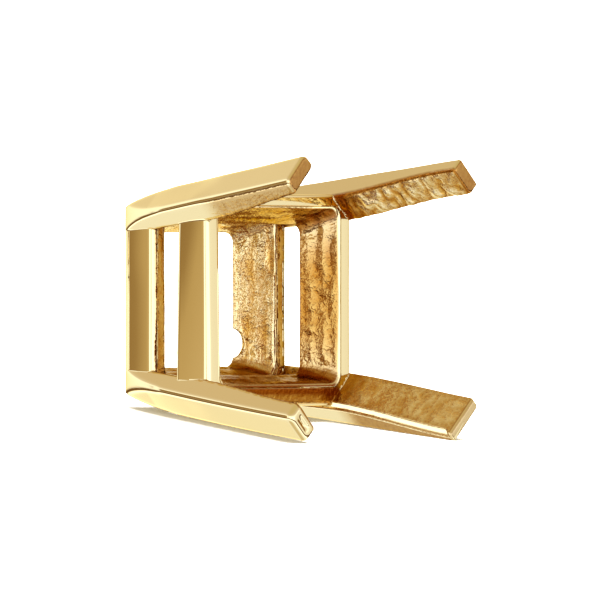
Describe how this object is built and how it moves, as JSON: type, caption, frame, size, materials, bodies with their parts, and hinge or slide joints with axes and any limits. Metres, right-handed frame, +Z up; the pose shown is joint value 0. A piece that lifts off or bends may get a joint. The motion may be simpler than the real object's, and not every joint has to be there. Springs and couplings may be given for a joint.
{
  "type": "prong basket setting",
  "caption": "Open cast basket setting: square gallery rails joined by splayed flat corner prongs that grip a square cut-corner stone.",
  "frame": {"origin": "centre of the bounding box's bottom, on the surface that the setting lies on", "axes": "+X from the base towards the stone, +Y to the far side, +Z up. The setting's own axis climbs 7.25 degrees from +X, because it lies on the outer edges of two splayed prongs."},
  "size_m": [0.0078, 0.0076, 0.0075],
  "materials": {
    "gold": "polished outside, rough as cast inside"
  },
  "bodies": {
    "root": {"basket_setting": "gold"}
  },
  "joints": []
}
